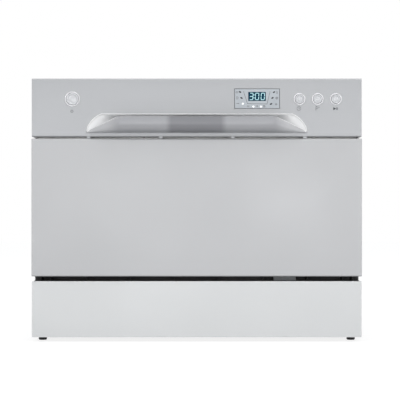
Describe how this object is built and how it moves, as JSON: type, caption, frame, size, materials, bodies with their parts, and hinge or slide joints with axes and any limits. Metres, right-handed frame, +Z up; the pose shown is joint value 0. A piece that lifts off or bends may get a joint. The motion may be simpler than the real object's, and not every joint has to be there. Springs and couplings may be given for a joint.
{
  "type": "countertop dishwasher",
  "caption": "Compact countertop dishwasher with a drop door, handle lip, display and push buttons, roll-out dish rack, spray arm and kick plate.",
  "frame": {"origin": "on the floor under the middle of the whole machine, grip included", "axes": "+X right seen from the front, +Y to the back, +Z up"},
  "size_m": [0.55, 0.5, 0.438],
  "materials": {
    "console_silver": "satin silver, moulded console",
    "door_silver": "satin silver coated steel",
    "kick_silver": "satin light silver",
    "casing_silver": "satin silver coated steel",
    "galvanised": "dull zinc",
    "tub_steel": "brushed stainless",
    "base_plastic": "dark moulded",
    "grip_silver": "satin silver",
    "cup_white": "pale silver",
    "ring_chrome": "satin chrome",
    "button_silver": "satin silver",
    "plate_pale": "pale printed film",
    "display_glass": "dark lit display",
    "rubber_dark": "matte",
    "foot_black": "matte black",
    "inner_plastic": "grey moulded",
    "pale_plastic": "off white moulded",
    "blue_plastic": "blue moulded",
    "rack_coat": "plastic coated wire",
    "pump_metal": "cast",
    "board_green": "circuit board",
    "clip_grey": "grey moulded"
  },
  "bodies": {
    "cabinet": {"outer_casing": "casing_silver", "rear_panel": "galvanised", "base_tray": "base_plastic", "kick_plate": "kick_silver", "deck_clip": "clip_grey", "feet": "foot_black", "tub": "tub_steel", "door_seal": "rubber_dark", "sump": "inner_plastic", "filter_plate": "tub_steel", "filter_cup": "inner_plastic", "spray_hub": "inner_plastic", "wash_pump": "pump_metal", "drain_pump": "inner_plastic", "heater": "tub_steel", "softener": "pale_plastic", "inlet_valve": "pale_plastic", "drain_spigot": "inner_plastic", "cord_gland": "base_plastic", "air_break": "pale_plastic", "float_switch": "pale_plastic", "rack_rails": "tub_steel", "latch_striker": "tub_steel", "hinge_brackets": "galvanised"},
    "door": {"control_panel": "console_silver", "handle_cup": "cup_white", "handle_grip": "grip_silver", "display_plate": "plate_pale", "display_module": "display_glass", "control_board": "board_green", "power_switch": "inner_plastic", "button_rings": "ring_chrome", "door_panel": "door_silver", "inner_door": "tub_steel", "dispenser_housing": "inner_plastic", "door_lock": "inner_plastic", "hinge_arms": "galvanised", "door_lower_seal": "rubber_dark"},
    "rack": {"rack_floor": "rack_coat", "rack_side_walls": "rack_coat", "rack_end_walls": "rack_coat", "rack_tines": "rack_coat", "rack_runners": "pale_plastic", "cutlery_basket": "inner_plastic", "shelf_clips": "pale_plastic"},
    "power_button": {"power_button": "button_silver"},
    "delay_button": {"delay_button": "button_silver"},
    "program_button": {"program_button": "button_silver"},
    "start_button": {"start_button": "button_silver"},
    "release_lever": {"release_lever": "inner_plastic"},
    "dispenser_lid": {"dispenser_lid": "inner_plastic"},
    "rinse_cap": {"rinse_cap": "blue_plastic"},
    "spray_arm": {"spray_arm": "inner_plastic"},
    "float": {"float": "inner_plastic"},
    "salt_cap": {"salt_cap": "inner_plastic"},
    "cup_shelf": {"cup_shelf": "rack_coat"},
    "wheel_front_left": {"wheel_front_left": "pale_plastic"},
    "wheel_front_right": {"wheel_front_right": "pale_plastic"},
    "wheel_rear_left": {"wheel_rear_left": "pale_plastic"},
    "wheel_rear_right": {"wheel_rear_right": "pale_plastic"}
  },
  "joints": [
    {"name": "door_hinge", "type": "hinge", "parent": "cabinet", "child": "door", "pos_m": [0, -0.214, 0.1185], "axis": [1, 0, 0], "range_deg": [0, 90]},
    {"name": "rack_slide", "type": "slide", "parent": "cabinet", "child": "rack", "axis": [0, -1, 0], "range_m": [0, 0.15]},
    {"name": "wheel_front_left_roll", "type": "hinge", "parent": "rack", "child": "wheel_front_left", "pos_m": [-0.2277, 0.005, 0.22], "axis": [1, 0, 0], "range_deg": [0, 680]},
    {"name": "wheel_front_right_roll", "type": "hinge", "parent": "rack", "child": "wheel_front_right", "pos_m": [0.2277, 0.005, 0.22], "axis": [1, 0, 0], "range_deg": [0, 680]},
    {"name": "wheel_rear_left_roll", "type": "hinge", "parent": "rack", "child": "wheel_rear_left", "pos_m": [-0.2277, 0.15, 0.22], "axis": [1, 0, 0], "range_deg": [0, 680]},
    {"name": "wheel_rear_right_roll", "type": "hinge", "parent": "rack", "child": "wheel_rear_right", "pos_m": [0.2277, 0.15, 0.22], "axis": [1, 0, 0], "range_deg": [0, 680]},
    {"name": "cup_shelf_fold", "type": "hinge", "parent": "rack", "child": "cup_shelf", "pos_m": [-0.2085, 0, 0.272], "axis": [0, -1, 0], "range_deg": [0, 85]},
    {"name": "power_press", "type": "slide", "parent": "door", "child": "power_button", "axis": [0, 1, 0], "range_m": [0, 0.0025], "stiffness_N_per_m": 400, "springref_m": -0.002},
    {"name": "delay_press", "type": "slide", "parent": "door", "child": "delay_button", "axis": [0, 1, 0], "range_m": [0, 0.0025], "stiffness_N_per_m": 400, "springref_m": -0.002},
    {"name": "program_press", "type": "slide", "parent": "door", "child": "program_button", "axis": [0, 1, 0], "range_m": [0, 0.0025], "stiffness_N_per_m": 400, "springref_m": -0.002},
    {"name": "start_press", "type": "slide", "parent": "door", "child": "start_button", "axis": [0, 1, 0], "range_m": [0, 0.0025], "stiffness_N_per_m": 400, "springref_m": -0.002},
    {"name": "release_lever_pull", "type": "hinge", "parent": "door", "child": "release_lever", "pos_m": [0, -0.208, 0.3676], "axis": [1, 0, 0], "range_deg": [-12, 0], "stiffness_Nm_per_rad": 0.06, "springref_deg": 11.46},
    {"name": "dispenser_lid_slide", "type": "slide", "parent": "door", "child": "dispenser_lid", "axis": [-1, 0, 0], "range_m": [0, 0.068]},
    {"name": "rinse_cap_twist", "type": "hinge", "parent": "door", "child": "rinse_cap", "pos_m": [-0.055, -0.175, 0.251], "axis": [0, 1, 0], "range_deg": [0, 90]},
    {"name": "spray_arm_spin", "type": "hinge", "parent": "cabinet", "child": "spray_arm", "pos_m": [0, 0.0225, 0.16], "axis": [0, 0, 1], "continuous": true},
    {"name": "float_lift", "type": "slide", "parent": "cabinet", "child": "float", "axis": [0, 0, 1], "range_m": [0, 0.008]},
    {"name": "salt_cap_twist", "type": "hinge", "parent": "cabinet", "child": "salt_cap", "pos_m": [0.17, -0.115, 0.143], "axis": [0, 0, 1], "range_deg": [0, 90]}
  ],
  "couplings": [
    {"joint": "rack_slide", "follows": "door_hinge", "m_per_rad": 0.0954},
    {"joint": "wheel_front_left_roll", "follows": "door_hinge", "ratio": 7.5118},
    {"joint": "wheel_front_right_roll", "follows": "door_hinge", "ratio": 7.5118},
    {"joint": "wheel_rear_left_roll", "follows": "door_hinge", "ratio": 7.5118},
    {"joint": "wheel_rear_right_roll", "follows": "door_hinge", "ratio": 7.5118}
  ]
}
